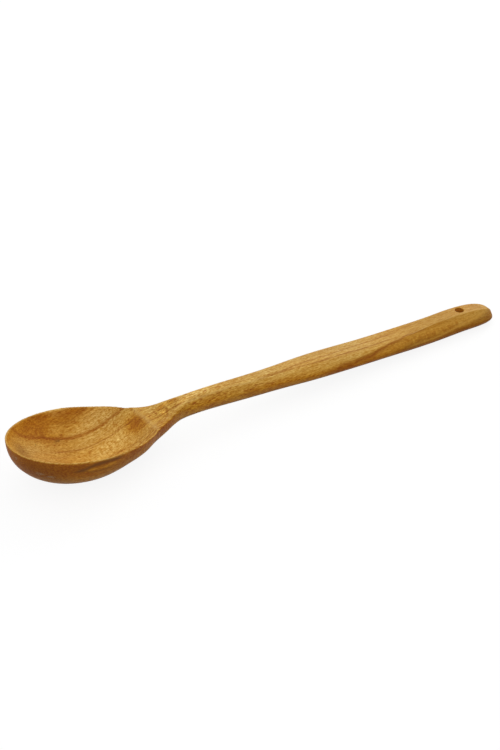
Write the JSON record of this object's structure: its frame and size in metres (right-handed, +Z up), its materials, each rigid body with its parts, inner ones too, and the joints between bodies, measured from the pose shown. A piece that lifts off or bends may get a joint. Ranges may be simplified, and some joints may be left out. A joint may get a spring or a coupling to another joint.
{
  "type": "wooden cooking spoon",
  "caption": "Carved wooden cooking spoon with an oval hollow bowl, arched neck and a flat-topped handle with a hanging hole, lying on a table.",
  "frame": {"origin": "middle of the spoon's length and width, on the table that it lies on", "axes": "+X from the bowl to the handle's end, +Z up"},
  "size_m": [0.2999, 0.0536, 0.029],
  "materials": {
    "oiled_wood": "satin, oiled, knife-carved"
  },
  "bodies": {
    "root": {"spoon": "oiled_wood"}
  },
  "joints": []
}
